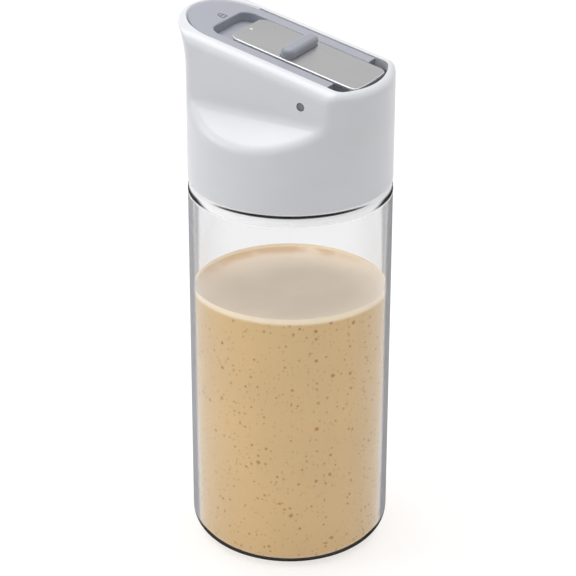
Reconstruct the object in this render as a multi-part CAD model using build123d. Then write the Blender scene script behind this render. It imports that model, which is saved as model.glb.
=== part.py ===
"""A one-hand salad dressing shaker: a glass bottle, a pouring lid, a flap and its slide lock."""
from build123d import *
import math
import os

# Glass bottle
GLASS_R = 34.0
GLASS_WALL = 1.9
SHOULDER_WALL = 2.5
BASE_THICK = 4.5
BASE_EDGE_R = 8.0
BASE_INNER_R = 6.5
PUNT_R = 24.0
PUNT_DEEP = 0.8
SHOULDER_Z = 131.8
SHOULDER_R = 2.75
INNER_SHOULDER_R = 4.5
NECK_INSET = 4.7
NECK_WALL = 2.2
NECK_HIGH = 14.2
NECK_ROOT_R = 1.0
NECK_RIM_R = 0.8

# Dressing
FILL_Z = 94.0
FILL_GAP = 0.1

# Lid shell
LID_WALL = 2.5
COLLAR_LIFT = 0.7
COLLAR_EDGE_R = 0.5
FLANK_Y = 21.5
FLANK_WALL = 2.4
SCOOP_DROP = 16.5
SCOOP_PITCH = 32.0
SCOOP_BEND_R = 4.0
CORNER_R = 4.5
CROWN_RISE = 5.0
LID_HIGH = 45.0
TOP_SLOPE = 11.9
FLANK_ROUND = 4.2
REAR_ROUND = 2.6
NOSE_ROUND = 0.9
NOSE_ROOT_Y = 22.5
NOSE_REACH = 4.4
NOSE_RISE = 13.5
NOSE_RIM = 1.44
RIM_LIP = 3.0
SLOT_CORNER_R = 3.5

# Pour tray, a slanted floor inside the shell's nose
TRAY_DEPTH = 7.0
TRAY_THICK = 1.6
TRAY_REACH = 11.8

# Inner cap, with the pour duct
CAP_LIFT = 1.0
CAP_DECK = 2.0
CAP_SHELF = 1.6
THREAD_ROOM = 1.0
GASKET_THICK = 2.0
GASKET_ROOM = 0.1
GASKET_WIDE = 5.5
GASKET_RIB = 1.6
GASKET_RIB_DROP = 2.8
DUCT_INSET = 18.7
DUCT_R = 7.5
DUCT_WALL = 1.6
DUCT_FIT = 0.05
DUCT_MOUTH_UP = 0.5
DUCT_SEAL_THICK = 1.5
DUCT_SEAL_WIDE = 1.7
DUCT_FLANGE = 1.5
GUSSET_THICK = 1.2
GUSSET_HIGH = 9.0
GUSSET_REACH = 6.0
POST_HIGH = 8.0
POST_WIDE = 9.0
POST_THICK = 1.8

# Flap, in the frame of the sloping top: x runs down the slope to the rear
FLAP_GAP = 0.4
FLAP_SINK = 0.2
FLANK_RIM = 5.5
FLAP_NOSE_TAPER = 0.8
FLAP_REAR_GAP = 9.2
FLAP_THICK = 5.0
FLAP_EDGE_R = 0.4
POCKET_DEPTH = 3.6
POCKET_FRONT_GAP = 0.85
POCKET_SIDE_GAP = 0.75
POCKET_CORNER_R = 4.5
POCKET_EDGE_R = 0.5

# Hinge
PIN_INSET = 18.0
PIN_DROP = 11.0
PIN_R = 1.45
PIN_FIT = 0.06
PIN_RECESS = 0.4
PIN_CHAMFER = 0.25
BARREL_R = 2.8
BARREL_NEAR = 7.0
BARREL_FAR = 12.0
BOSS_R = 3.6
BOSS_REACH = 4.5

# Return spring, wound round the pin
WIRE_R = 0.3
COIL_R = 1.85
COIL_TURNS = 4
COIL_PITCH = 1.3
LEG_FLAP = 4.4
LEG_HOLD = 3.0
SPRING_PAD = 3.0

# Slide lock
PLATE_LONG = 47.0
PLATE_WIDE = 21.5
PLATE_THICK = 0.8
PLATE_SINK = 0.45
PLATE_CORNER_R = 3.6
PLATE_BEVEL = 0.15
PLATE_REAR_GAP = 2.43
SLIDER_INSET = 0.25
SLIDER_FIT = 0.1
RIDGE_SHIFT = 3.25
RIDGE_LONG = 4.8
RIDGE_WIDE = 19.0
RIDGE_HIGH = 3.4
RIDGE_ROUND = 1.5
RIDGE_SLOT_GAP = 0.1
LOCK_TRAVEL = 6.5
CLIP_SHIFT = 0.95
CLIP_LONG = 4.0
CLIP_Y = 6.4
CLIP_THICK = 2.0
CLIP_FOOT = 1.6
CLIP_FOOT_THICK = 1.1
SLOT_GAP = 0.25
KEEPER_GAP = 0.4
TONGUE_LONG = 2.2
TONGUE_WIDE = 5.0
TONGUE_TOE = 1.4
TONGUE_TOE_THICK = 1.3
KEEPER_UNDER = 0.5

# Pour seal, the soft stopper under the flap
STOPPER_R = 9.4
STOPPER_PLUG_R = 7.0
STOPPER_TIP_R = 5.4
STOPPER_PLUG_LONG = 3.0
STOPPER_FIT = 0.05
CUP_WALL = 1.4
CUP_DEEP = 1.1

# Places that follow from the sizes above
SLOPE = math.radians(TOP_SLOPE)
FALL = math.tan(SLOPE)
LID_R = GLASS_R
BORE_R = LID_R - LID_WALL
GLASS_IN_R = GLASS_R - GLASS_WALL
NECK_R = GLASS_R - NECK_INSET
NECK_TOP = SHOULDER_Z + NECK_HIGH
NECK_IN_R = NECK_R - NECK_WALL
SKIRT_IN_R = NECK_R + THREAD_ROOM
GASKET_R = SKIRT_IN_R - GASKET_ROOM
GASKET_IN_R = GASKET_R - GASKET_WIDE
COLLAR_Z = SHOULDER_Z + COLLAR_LIFT
TOP_Z = COLLAR_Z + LID_HIGH
SCOOP_Z = TOP_Z - SCOOP_DROP
CROWN_Z = SCOOP_Z + CROWN_RISE
DECK_LOW = NECK_TOP + GASKET_THICK
DECK_TOP = DECK_LOW + CAP_DECK
NOSE_TIP_Z = TOP_Z + FALL * (LID_R + NOSE_REACH)

# Reaches of tools that run past what they cut, and how deep joined pieces bite
SPAN = 4 * LID_R
HIGH_Z = NOSE_TIP_Z + LID_R
BITE = 0.5
NEAR = 0.01
BEND_SHARE = 0.45
CORNER_SHARE = 0.85
BUTT = (Align.CENTER, Align.CENTER, Align.MIN)


def slope_x(x, depth):
    """Distance down the slope of the point at world x that lies depth below the sloping top."""
    return x / math.cos(SLOPE) + depth * math.tan(SLOPE)


def slope_point(x, z):
    """Slope-frame x and z of a world point on the middle plane."""
    rise = z - TOP_Z
    along = x * math.cos(SLOPE) - rise * math.sin(SLOPE)
    up = x * math.sin(SLOPE) + rise * math.cos(SLOPE)
    return along, up


def on_slope(shape):
    """Carries a shape from the slope frame to its place in the lid."""
    return Location((0, 0, TOP_Z), (0, TOP_SLOPE, 0)) * shape


PIN_X = LID_R - PIN_INSET
PIN_Z = TOP_Z - PIN_DROP
PIN_ALONG, PIN_UP = slope_point(PIN_X, PIN_Z)
PIN_HALF = FLANK_Y - PIN_RECESS
BOSS_FACE = FLANK_Y - BOSS_REACH
LEG_POST = PIN_Z - DECK_TOP - POST_HIGH + LEG_HOLD
DUCT_X = DUCT_INSET - LID_R
DUCT_OUT_R = DUCT_R + DUCT_WALL
MOUTH_DEPTH = TRAY_DEPTH - DUCT_MOUTH_UP
DUCT_ALONG = slope_x(DUCT_X, MOUTH_DEPTH)
TRAY_LOW = TRAY_DEPTH + TRAY_THICK
TRAY_END = DUCT_ALONG + TRAY_REACH
SEAL_LOW_DEPTH = TRAY_LOW + DUCT_SEAL_THICK
FLANGE_LOW_DEPTH = SEAL_LOW_DEPTH + DUCT_FLANGE
FLAP_HALF = FLANK_Y - FLANK_RIM
FLAP_NOSE_X = NOSE_RIM + FLAP_GAP + FLAP_HALF - slope_x(LID_R + NOSE_REACH, 0)
FLAP_REAR_X = slope_x(BORE_R, 0) - FLAP_REAR_GAP
PLATE_LOW = PLATE_SINK + PLATE_THICK
PLATE_REAR_X = slope_x(BORE_R, PLATE_SINK) - PLATE_REAR_GAP
PLATE_MID_X = PLATE_REAR_X - PLATE_LONG / 2
POCKET_HALF = PLATE_WIDE / 2 + POCKET_SIDE_GAP
POCKET_FRONT = PLATE_REAR_X - PLATE_LONG - LOCK_TRAVEL - POCKET_FRONT_GAP
RIDGE_X = PLATE_MID_X - RIDGE_SHIFT
CLIP_X = PLATE_MID_X - CLIP_SHIFT
TONGUE_X = TRAY_END + LOCK_TRAVEL + KEEPER_GAP + TONGUE_TOE
TONGUE_DROP = TRAY_LOW + KEEPER_UNDER + TONGUE_TOE_THICK


def flat(points, radii):
    """A closed flat face through corner points, each with its own rounding."""
    return Face(FilletPolyline(*points, radius=radii, close=True))


def slab(x_low, x_high, half_wide, depth_low, depth_high):
    """A block in the slope frame, between two depths below the sloping top."""
    size = (x_high - x_low, 2 * half_wide, depth_low - depth_high)
    return Pos((x_low + x_high) / 2, 0, -depth_low) * Box(*size, align=BUTT)


def above_slope(depth):
    """All the space over the plane that lies depth below the sloping top."""
    return on_slope(Pos(0, 0, -depth) * Box(SPAN, SPAN, SPAN, align=BUTT))


def pipe(outer, inner, low, high):
    """A round tube about the upright axis."""
    ring = Circle(outer) - Circle(inner)
    return Pos(0, 0, low) * extrude(ring, high - low)


def upright_drum(x, radius, low, high):
    """An upright round bar on the middle plane."""
    return Pos(x, 0, low) * Cylinder(radius, high - low, align=BUTT)


def cross_bar(x, z, radius, y_low, y_high):
    """A round bar across the object, from one y to another."""
    return Pos(x, y_low, z) * (Rot(-90, 0, 0) * Cylinder(radius, y_high - y_low, align=BUTT))


def glass_bottle():
    """The straight glass jar with its heavy rounded base, square shoulder and wide neck."""
    shoulder_in = SHOULDER_Z - SHOULDER_WALL
    outline = [
        (0, 0),
        (GLASS_R, 0),
        (GLASS_R, SHOULDER_Z),
        (NECK_R, SHOULDER_Z),
        (NECK_R, NECK_TOP),
        (NECK_IN_R, NECK_TOP),
        (NECK_IN_R, shoulder_in),
        (GLASS_IN_R, shoulder_in),
        (GLASS_IN_R, BASE_THICK),
        (0, BASE_THICK),
    ]
    neck_in_bend = min(INNER_SHOULDER_R, (GLASS_IN_R - NECK_IN_R) * BEND_SHARE)
    radii = [0, BASE_EDGE_R, SHOULDER_R, NECK_ROOT_R, NECK_RIM_R, NECK_RIM_R]
    radii += [neck_in_bend, neck_in_bend, BASE_INNER_R, 0]
    ball_r = (PUNT_R**2 + PUNT_DEEP**2) / (2 * PUNT_DEEP)
    half = flat(outline, radii) - Pos(0, PUNT_DEEP - ball_r) * Circle(ball_r)
    return revolve(Plane.XZ * half, Axis.Z)


def dressing_fill():
    """The dressing, a plain body of liquid a hair inside the glass."""
    radius = GLASS_IN_R - FILL_GAP
    outline = [(0, BASE_THICK), (radius, BASE_THICK), (radius, FILL_Z), (0, FILL_Z)]
    face = flat(outline, [0, BASE_INNER_R, 0, 0])
    return revolve(Plane.XZ * face, Axis.Z)


def lid_gasket():
    """The flat silicone ring between the glass rim and the deck of the cap."""
    return pipe(GASKET_R, GASKET_IN_R, NECK_TOP, DECK_LOW)


def flank_cutters(inset=0.0):
    """Both side cutters: a flat flank that bends out into the finger scoop below it."""
    pitch = math.radians(SCOOP_PITCH)
    near = FLANK_Y - inset
    drop = inset / math.cos(pitch)

    def ramp(y):
        return SCOOP_Z - drop - (y - FLANK_Y) * math.tan(pitch)

    far = LID_R * 1.5
    outline = [(near, ramp(near)), (near, HIGH_Z), (far, HIGH_Z), (far, ramp(far))]
    face = flat(outline, [SCOOP_BEND_R + inset, 0, 0, 0])
    cutter = extrude(Plane.YZ * face, SPAN / 2, both=True)
    return cutter + mirror(cutter, Plane.XZ)


def lower_shell():
    """The round collar and the scoops, with one rounding run along every edge the scoops make."""
    drum = Pos(0, 0, COLLAR_Z) * Cylinder(LID_R, CROWN_Z - COLLAR_Z, align=BUTT, rotation=(0, 0, 90))
    drum -= flank_cutters()

    def is_scoop_edge(edge):
        start, middle = edge @ 0, edge @ 0.5
        on_wall = math.hypot(start.X, start.Y) > LID_R - NEAR
        inside = COLLAR_Z + BITE < start.Z < CROWN_Z - NEAR
        seam = edge.geom_type == GeomType.LINE and abs(middle.X) < NEAR
        return on_wall and inside and not seam

    return fillet([e for e in drum.edges() if is_scoop_edge(e)], CORNER_R)


def rounding(radius, depth):
    """How far a rounded edge has drawn in at a depth below its top."""
    if depth >= radius:
        return 0.0
    return radius - math.sqrt(radius**2 - (radius - depth) ** 2)


def plan_outline(flank, rear, nose_in, tip_z, corner):
    """The lid seen from above: round rear, flat flanks and a nose that swells out towards its tip."""
    swell = max(0.0, (tip_z - NOSE_TIP_Z + NOSE_RISE) / NOSE_RISE)
    reach = NOSE_REACH * swell**2
    root_x = math.sqrt(LID_R**2 - NOSE_ROOT_Y**2)
    sagitta = LID_R + reach - root_x
    nose_r = (NOSE_ROOT_Y**2 + sagitta**2) / (2 * sagitta)
    centre = nose_r - LID_R - reach
    nose_r -= nose_in
    nose_x = centre - math.sqrt(nose_r**2 - flank**2)
    rear_x = math.sqrt(rear**2 - flank**2)
    edges = [
        ThreePointArc((rear_x, -flank), (rear, 0), (rear_x, flank)),
        Line((rear_x, flank), (nose_x, flank)),
        ThreePointArc((nose_x, flank), (centre - nose_r, 0), (nose_x, -flank)),
        Line((nose_x, -flank), (rear_x, -flank)),
    ]
    face = Sketch() + Face(Wire(edges))
    return fillet(face.vertices(), corner)


def crown_section(height, fall, depth=SPAN):
    """A cut through the crown on a plane at a height over the axis, falling to the rear."""
    flank_in = rounding(FLANK_ROUND, depth)
    rear_in = rounding(REAR_ROUND, depth)
    nose_in = rounding(NOSE_ROUND, depth)
    tip_z = height + fall * (LID_R + NOSE_REACH)
    corner = CORNER_R - flank_in * CORNER_SHARE
    outline = plan_outline(FLANK_Y - flank_in, LID_R - rear_in, nose_in, tip_z, corner)
    prism = extrude(Pos(0, 0, COLLAR_Z) * outline, HIGH_Z - COLLAR_Z)
    plane = Plane(origin=(0, 0, height), x_dir=(1, 0, -fall), z_dir=(fall, 0, 1))
    cut = split(prism, plane, keep=Keep.BOTTOM)
    return max(cut.faces(), key=middle_z)


def crown_lofts(first):
    """The crown over the collar: upright walls that tilt to the slope, then the rounded rim."""
    steps = 6
    pitch = FLANK_ROUND * math.pi / 2 / steps
    low_depth = FLANK_ROUND + 2 * pitch
    low_top = TOP_Z - low_depth / math.cos(SLOPE)
    walls = [first]
    for share in (0.25, 0.5, 0.75, 1.0):
        walls.append(crown_section(CROWN_Z + (low_top - CROWN_Z) * share, FALL * share))
    rim = []
    for depth in (low_depth, low_depth - pitch):
        rim.append(crown_section(TOP_Z - depth / math.cos(SLOPE), FALL))
    for step in range(steps + 1):
        depth = FLANK_ROUND * (1 - math.sin(math.pi / 2 * step / steps))
        rim.append(crown_section(TOP_Z - depth / math.cos(SLOPE), FALL, depth))
    return loft(walls), loft(rim)


def is_level(face):
    """True for a flat face that lies level or along the slope."""
    return face.geom_type == GeomType.PLANE and abs(face.normal_at().Z) > FALL


def middle_z(face):
    """The height of a face's middle."""
    return face.center().Z


def outer_form():
    """The lid's solid outer form, its collar and crown joined face to face."""
    collar = lower_shell()
    top = max(collar.faces(), key=middle_z)
    walls, rim = crown_lofts(top)
    cover = max((face for face in rim.faces() if is_level(face)), key=middle_z)
    skin = [face for face in collar.faces() if not face.is_same(top)]
    skin += [face for face in walls.faces() + rim.faces() if not is_level(face)]
    return Part() + Solid(Shell(skin + [cover]))


def nose_cone(radius, depth):
    """The tapering seat of the flap's round nose, in the slope frame."""
    low = radius - FLAP_NOSE_TAPER * depth
    return Pos(FLAP_NOSE_X, 0, -depth) * Cone(low, radius, depth, align=BUTT)


def flap_opening():
    """The slot in the rim that the flap sits in, down to the pour tray."""
    half = FLAP_HALF + FLAP_GAP
    over = Pos(FLAP_NOSE_X, 0, 0) * Cylinder(half, SPAN / 4, align=BUTT)
    nose = nose_cone(half, TRAY_DEPTH) + over
    trough = slab(FLAP_NOSE_X - FLAP_GAP, SPAN / 2, half, TRAY_DEPTH, -SPAN / 4)
    well = slab(TRAY_END, SPAN / 2, half, TRAY_LOW + RIM_LIP, -SPAN / 4)
    opening = on_slope(nose + trough + well)
    opening &= Pos(0, 0, COLLAR_Z) * Cylinder(BORE_R, SPAN, align=BUTT) + on_slope(nose)
    upright = [e for e in opening.edges() if is_rear_corner(e, half)]
    return fillet(upright, SLOT_CORNER_R)


def is_rear_corner(edge, half):
    """True for the upright corner edges where the slot's sides meet its round rear."""
    middle = edge @ 0.5
    tall = abs((edge @ 1).Z - (edge @ 0).Z) > RIM_LIP
    return tall and middle.X > BORE_R / 2 and abs(abs(middle.Y) - half) < NEAR


def lid_cavity():
    """The hollow of the shell: the collar bore, and the room under the tray and behind it."""
    bore = Pos(0, 0, COLLAR_Z - BITE) * Cylinder(BORE_R, SPAN, align=BUTT)
    bore -= flank_cutters(FLANK_WALL)
    front = bore - above_slope(TRAY_LOW)
    rear = bore - above_slope(RIM_LIP)
    rear &= on_slope(slab(TRAY_END, SPAN / 2, SPAN / 2, SPAN / 2, -SPAN / 4))
    return front + rear


def lid_shell():
    """The white outer moulding: collar, scoops, swelling nose, rim, pour tray and hinge bosses."""
    shell = outer_form() - lid_cavity()
    boss_in = FLANK_Y - FLANK_WALL
    for y_low, y_high in ((BOSS_FACE, boss_in + BITE), (-boss_in - BITE, -BOSS_FACE)):
        shell += cross_bar(PIN_X, PIN_Z, BOSS_R, y_low, y_high)
    shell += pipe(BORE_R + BITE, BORE_R - CAP_SHELF, DECK_TOP, DECK_TOP + CAP_SHELF)
    shell -= flap_opening()
    shell -= cross_bar(PIN_X, PIN_Z, PIN_R, -SPAN / 2, SPAN / 2)
    shell -= upright_drum(DUCT_X, DUCT_OUT_R + DUCT_FIT, DECK_TOP, HIGH_Z)
    collar = [e for e in shell.edges() if abs((e @ 0.5).Z - COLLAR_Z) < NEAR]
    return fillet(collar, COLLAR_EDGE_R)


def sloped_slice(shape, low_depth, high_depth):
    """The part of an upright shape between two planes parallel to the sloping top."""
    return (shape & above_slope(low_depth)) - above_slope(high_depth)


def spring_post_x():
    """World x of the post face that the spring's long leg leans on."""
    return PIN_X - COIL_R - WIRE_R


def inner_cap():
    """The liner: a skirt over the neck, a deck that holds the gasket, and the pour duct."""
    cap = pipe(BORE_R, SKIRT_IN_R, COLLAR_Z + CAP_LIFT, DECK_TOP)
    cap += upright_drum(0, BORE_R, DECK_LOW, DECK_TOP)
    rib_r = GASKET_IN_R - GASKET_ROOM
    cap += pipe(rib_r, rib_r - GASKET_RIB, DECK_LOW - GASKET_RIB_DROP, DECK_LOW)
    cap += upright_drum(DUCT_X, DUCT_OUT_R, DECK_TOP, HIGH_Z) - above_slope(MOUTH_DEPTH)
    flange = upright_drum(DUCT_X, DUCT_OUT_R + DUCT_SEAL_WIDE, DECK_TOP, HIGH_Z)
    cap += sloped_slice(flange, FLANGE_LOW_DEPTH, SEAL_LOW_DEPTH)
    cap += duct_gussets()
    post_x = spring_post_x() - POST_THICK
    cap += Pos(post_x, 0, DECK_TOP) * Box(
        POST_THICK, POST_WIDE, POST_HIGH, align=(Align.MIN, Align.CENTER, Align.MIN)
    )
    return cap - upright_drum(DUCT_X, DUCT_R, DECK_LOW - BITE, HIGH_Z)


def duct_gussets():
    """Thin webs that brace the duct on the deck, to the rear and to both sides."""
    near = DUCT_OUT_R - BITE
    far = DUCT_OUT_R + GUSSET_REACH
    outline = [(near, 0), (far, 0), (near, GUSSET_HIGH)]
    web = extrude(Plane.XZ * flat(outline, [0, 0, 0]), GUSSET_THICK / 2, both=True)
    webs = [Pos(DUCT_X, 0, DECK_TOP) * Rot(0, 0, turn) * web for turn in (-90, 0, 90)]
    return webs[0] + webs[1] + webs[2]


def duct_seal():
    """The silicone ring squeezed between the duct's flange and the underside of the tray."""
    ring = upright_drum(DUCT_X, DUCT_OUT_R + DUCT_SEAL_WIDE, DECK_TOP, HIGH_Z)
    ring -= upright_drum(DUCT_X, DUCT_OUT_R + DUCT_FIT, DECK_TOP, HIGH_Z)
    return sloped_slice(ring, SEAL_LOW_DEPTH, TRAY_LOW)


def hinge_pin():
    """The steel pin through both flanks and the flap's barrels."""
    pin = cross_bar(PIN_X, PIN_Z, PIN_R, -PIN_HALF, PIN_HALF)
    ends = [e for e in pin.edges() if e.geom_type == GeomType.CIRCLE]
    return chamfer(ends, PIN_CHAMFER)


def coil_point(angle):
    """A point on the spring's coil and the direction of the wire there."""
    rise = COIL_PITCH / (2 * math.pi)
    turned = angle - coil_start()
    half = COIL_PITCH * (coil_end() - coil_start()) / (4 * math.pi)
    point = Vector(
        PIN_X + COIL_R * math.cos(angle), half - rise * turned, PIN_Z + COIL_R * math.sin(angle)
    )
    heading = Vector(-COIL_R * math.sin(angle), -rise, COIL_R * math.cos(angle))
    return point, heading.normalized()


def coil_start():
    """The angle at which the short leg leaves the coil, square to the flap's floor."""
    return math.pi / 2 - SLOPE


def coil_end():
    """The angle at which the long leg leaves the coil, straight down in front of the pin."""
    return math.pi + COIL_TURNS * 2 * math.pi


def biarc(start, heading, finish, heading_out):
    """Two arcs that join smoothly and leave and arrive along the given directions."""
    chord = finish - start
    both = heading + heading_out
    b = chord.dot(both)
    a = 2 * (1 - heading.dot(heading_out))
    reach = (math.sqrt(b * b + a * chord.dot(chord)) - b) / a
    joint = (start + heading * reach + finish - heading_out * reach) * 0.5
    return [arc_from(start, heading, joint), arc_from(finish, heading_out * -1, joint, True)]


def arc_from(start, heading, finish, backward=False):
    """The arc that leaves start along heading and ends at finish."""
    chord = finish - start
    bisector = heading.normalized() + chord.normalized()
    middle = start + bisector.normalized() * (
        chord.length / 2 / bisector.normalized().dot(chord.normalized())
    )
    if backward:
        return ThreePointArc(finish, middle, start)
    return ThreePointArc(start, middle, finish)


def spring_path():
    """The run of the wire: the leg under the flap, the coil, and the leg down to its post."""
    first, heading = coil_point(coil_start())
    last, heading_out = coil_point(coil_end())
    quarters = COIL_TURNS * 4 + 1
    step = (coil_end() - coil_start()) / quarters
    edges = [Line(first - heading * LEG_FLAP, first)]
    for count in range(quarters):
        here = coil_point(coil_start() + count * step)
        there = coil_point(coil_start() + (count + 1) * step)
        edges += biarc(*here, *there)
    edges.append(Line(last, last + heading_out * LEG_POST))
    return edges


def least_gap(edges):
    """The smallest distance between the surfaces of two turns of the wire, on sampled points."""
    points = [edge @ (share / 4) for edge in edges[1:-1] for share in range(4)]
    apart = len(points) // (COIL_TURNS + 1)
    gaps = [
        (points[i] - points[j]).length
        for i in range(len(points))
        for j in range(i + apart // 2, len(points))
    ]
    return min(gaps) - 2 * WIRE_R


def return_spring():
    """The torsion spring that holds the flap shut, one unbroken wire."""
    edges = spring_path()
    print("return_spring least gap to itself, mm:", round(least_gap(edges), 3))
    start, heading = edges[0] @ 0, edges[0] % 0
    section = Plane(origin=start, z_dir=heading) * Circle(WIRE_R)
    return sweep(section, path=Wire(edges))


def pocket():
    """The room in the flap that the lock slides in, open to the rear."""
    long = FLAP_REAR_X + SPAN / 4 - POCKET_FRONT
    outline = Pos(POCKET_FRONT + long / 2, 0) * RectangleRounded(long, 2 * POCKET_HALF, POCKET_CORNER_R)
    return Pos(0, 0, -POCKET_DEPTH) * extrude(outline, SPAN / 4)


def flap_barrels():
    """The two hinge barrels under the flap, each with the web that carries it."""
    barrels = Part()
    for side in (-1, 1):
        y_low = side * BARREL_NEAR if side > 0 else -BARREL_FAR
        y_high = y_low + BARREL_FAR - BARREL_NEAR
        bar = cross_bar(PIN_ALONG, PIN_UP, BARREL_R, y_low, y_high)
        web_high = BITE - FLAP_THICK - PIN_UP
        web = Pos(PIN_ALONG, (y_low + y_high) / 2, PIN_UP) * Box(
            2 * BARREL_R, y_high - y_low, web_high, align=BUTT
        )
        barrels += bar + web
    return barrels


def flap_slots():
    """The slots in the pocket's floor for the lock's clips and tongue."""
    low, high = POCKET_DEPTH - BITE, FLAP_THICK + BITE
    slots = Part()
    for side in (-1, 1):
        wide = CLIP_THICK + 2 * SLOT_GAP
        slot = slab(
            CLIP_X - LOCK_TRAVEL - SLOT_GAP, CLIP_X + CLIP_LONG + SLOT_GAP, wide / 2, high, low
        )
        slots += Pos(0, side * (CLIP_Y + CLIP_THICK / 2), 0) * slot
    slots += slab(
        TONGUE_X - TONGUE_TOE - LOCK_TRAVEL - SLOT_GAP,
        TONGUE_X + TONGUE_LONG + SLOT_GAP,
        TONGUE_WIDE / 2 + SLOT_GAP,
        high,
        low,
    )
    return slots


def flap_plate():
    """The flap's plain upper plate: a round tapering nose that runs into straight-sided arms."""
    low_r = FLAP_HALF - FLAP_NOSE_TAPER * (FLAP_THICK - FLAP_SINK)
    cone = [(0, -FLAP_THICK), (low_r, -FLAP_THICK), (FLAP_HALF, -FLAP_SINK), (0, -FLAP_SINK)]
    nose = revolve(Plane.XZ * flat(cone, [0, 0, FLAP_EDGE_R, 0]), Axis.Z)
    bar = [
        (-FLAP_HALF, -FLAP_THICK),
        (FLAP_HALF, -FLAP_THICK),
        (FLAP_HALF, -FLAP_SINK),
        (-FLAP_HALF, -FLAP_SINK),
    ]
    arms = extrude(Plane.YZ * flat(bar, [0, 0, FLAP_EDGE_R, FLAP_EDGE_R]), FLAP_REAR_X - FLAP_NOSE_X)
    return Pos(FLAP_NOSE_X, 0, 0) * (nose + arms)


def flap_lever():
    """The grey flap: round tapering nose, slider pocket, hinge barrels and the seal's cup."""
    flap = flap_plate() - pocket()
    flap = fillet([e for e in flap.edges() if is_pocket_rim(e)], POCKET_EDGE_R)
    flap += flap_barrels()
    cup_r = STOPPER_R + STOPPER_FIT
    cup = Circle(cup_r + CUP_WALL) - Circle(cup_r)
    flap += Pos(DUCT_ALONG, 0, -FLAP_THICK - CUP_DEEP) * extrude(cup, CUP_DEEP)
    pad_low = COIL_R + WIRE_R + PIN_UP
    flap += slab(FLAP_REAR_X - SPRING_PAD, FLAP_REAR_X, BARREL_NEAR, -pad_low, POCKET_DEPTH)
    flap -= flap_slots()
    flap -= cross_bar(PIN_ALONG, PIN_UP, PIN_R + PIN_FIT, -SPAN / 2, SPAN / 2)
    return on_slope(flap)


def is_pocket_rim(edge):
    """True for the edges where the pocket's walls meet the flap's top."""
    middle = edge @ 0.5
    on_top = abs(middle.Z + FLAP_SINK) < NEAR
    return on_top and middle.X > POCKET_FRONT - NEAR and abs(middle.Y) < POCKET_HALF + NEAR


def pour_seal():
    """The soft stopper that closes the duct: a flat disc with a tapering plug."""
    thick = MOUTH_DEPTH - FLAP_THICK
    disc = Pos(DUCT_ALONG, 0, -MOUTH_DEPTH) * Cylinder(STOPPER_R, thick, align=BUTT)
    plug = Pos(DUCT_ALONG, 0, -MOUTH_DEPTH - STOPPER_PLUG_LONG) * Cone(
        STOPPER_TIP_R, STOPPER_PLUG_R, STOPPER_PLUG_LONG, align=BUTT
    )
    return on_slope(disc + plug)


def rounded_block(long, wide, corner, x_mid, depth_low, depth_high):
    """A block with rounded upright corners, in the slope frame."""
    outline = RectangleRounded(long, wide, corner)
    return Pos(x_mid, 0, -depth_low) * extrude(outline, depth_low - depth_high)


def ridge_outline(gap):
    """The long round-ended outline of the thumb ridge, across the plate."""
    return Rot(0, 0, 90) * SlotOverall(RIDGE_WIDE + 2 * gap, RIDGE_LONG + 2 * gap)


def lock_slider():
    """The sliding lock: a tray under the plate, the thumb ridge, two clips and the lock tongue."""
    low = POCKET_DEPTH - SLIDER_FIT
    long = PLATE_LONG - 2 * SLIDER_INSET
    wide = PLATE_WIDE - 2 * SLIDER_INSET
    corner = PLATE_CORNER_R - SLIDER_INSET
    slider = rounded_block(long, wide, corner, PLATE_MID_X, low, PLATE_LOW)
    ridge_top = PLATE_SINK - RIDGE_HIGH
    ridge = Pos(RIDGE_X, 0, -PLATE_LOW) * extrude(ridge_outline(0), PLATE_LOW - ridge_top)
    crest = [e for e in ridge.edges() if abs((e @ 0.5).Z + ridge_top) < NEAR]
    slider += fillet(crest, RIDGE_ROUND)
    foot_top = FLAP_THICK + SLIDER_FIT
    foot_low = foot_top + CLIP_FOOT_THICK
    for side in (-1, 1):
        leg = slab(CLIP_X, CLIP_X + CLIP_LONG, CLIP_THICK / 2, foot_low, low)
        foot = slab(CLIP_X, CLIP_X + CLIP_LONG, (CLIP_THICK + CLIP_FOOT) / 2, foot_low, foot_top)
        slider += Pos(0, side * (CLIP_Y + CLIP_THICK / 2), 0) * leg
        slider += Pos(0, side * (CLIP_Y + (CLIP_THICK + CLIP_FOOT) / 2), 0) * foot
    tongue = slab(TONGUE_X, TONGUE_X + TONGUE_LONG, TONGUE_WIDE / 2, TONGUE_DROP, low)
    toe_top = TONGUE_DROP - TONGUE_TOE_THICK
    toe = slab(TONGUE_X - TONGUE_TOE, TONGUE_X, TONGUE_WIDE / 2, TONGUE_DROP, toe_top)
    return on_slope(slider + tongue + toe)


def steel_plate():
    """The brushed steel cover, with the slot that the thumb ridge stands in."""
    plate = rounded_block(
        PLATE_LONG, PLATE_WIDE, PLATE_CORNER_R, PLATE_MID_X, PLATE_LOW, PLATE_SINK
    )
    top = [e for e in plate.edges() if abs((e @ 0.5).Z + PLATE_SINK) < NEAR]
    plate = chamfer(top, PLATE_BEVEL)
    slot = Pos(RIDGE_X, 0, -SPAN / 8) * extrude(ridge_outline(RIDGE_SLOT_GAP), SPAN / 4)
    return on_slope(plate - slot)


NODES = (
    glass_bottle,
    dressing_fill,
    lid_gasket,
    lid_shell,
    inner_cap,
    duct_seal,
    hinge_pin,
    return_spring,
    flap_lever,
    pour_seal,
    lock_slider,
    steel_plate,
)


def main():
    """Builds every piece and writes each to its own file."""
    os.makedirs("parts", exist_ok=True)
    for make in NODES:
        export_step(make(), f"parts/{make.__name__}.step")


if __name__ == "__main__":
    main()
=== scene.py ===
"""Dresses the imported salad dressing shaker: finishes, glass, dressing, marks, light and camera."""

import logging
import math
from dataclasses import dataclass
from enum import Enum
from typing import Callable, Iterable, Sequence

import bmesh
import bpy
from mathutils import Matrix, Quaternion, Vector


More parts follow.
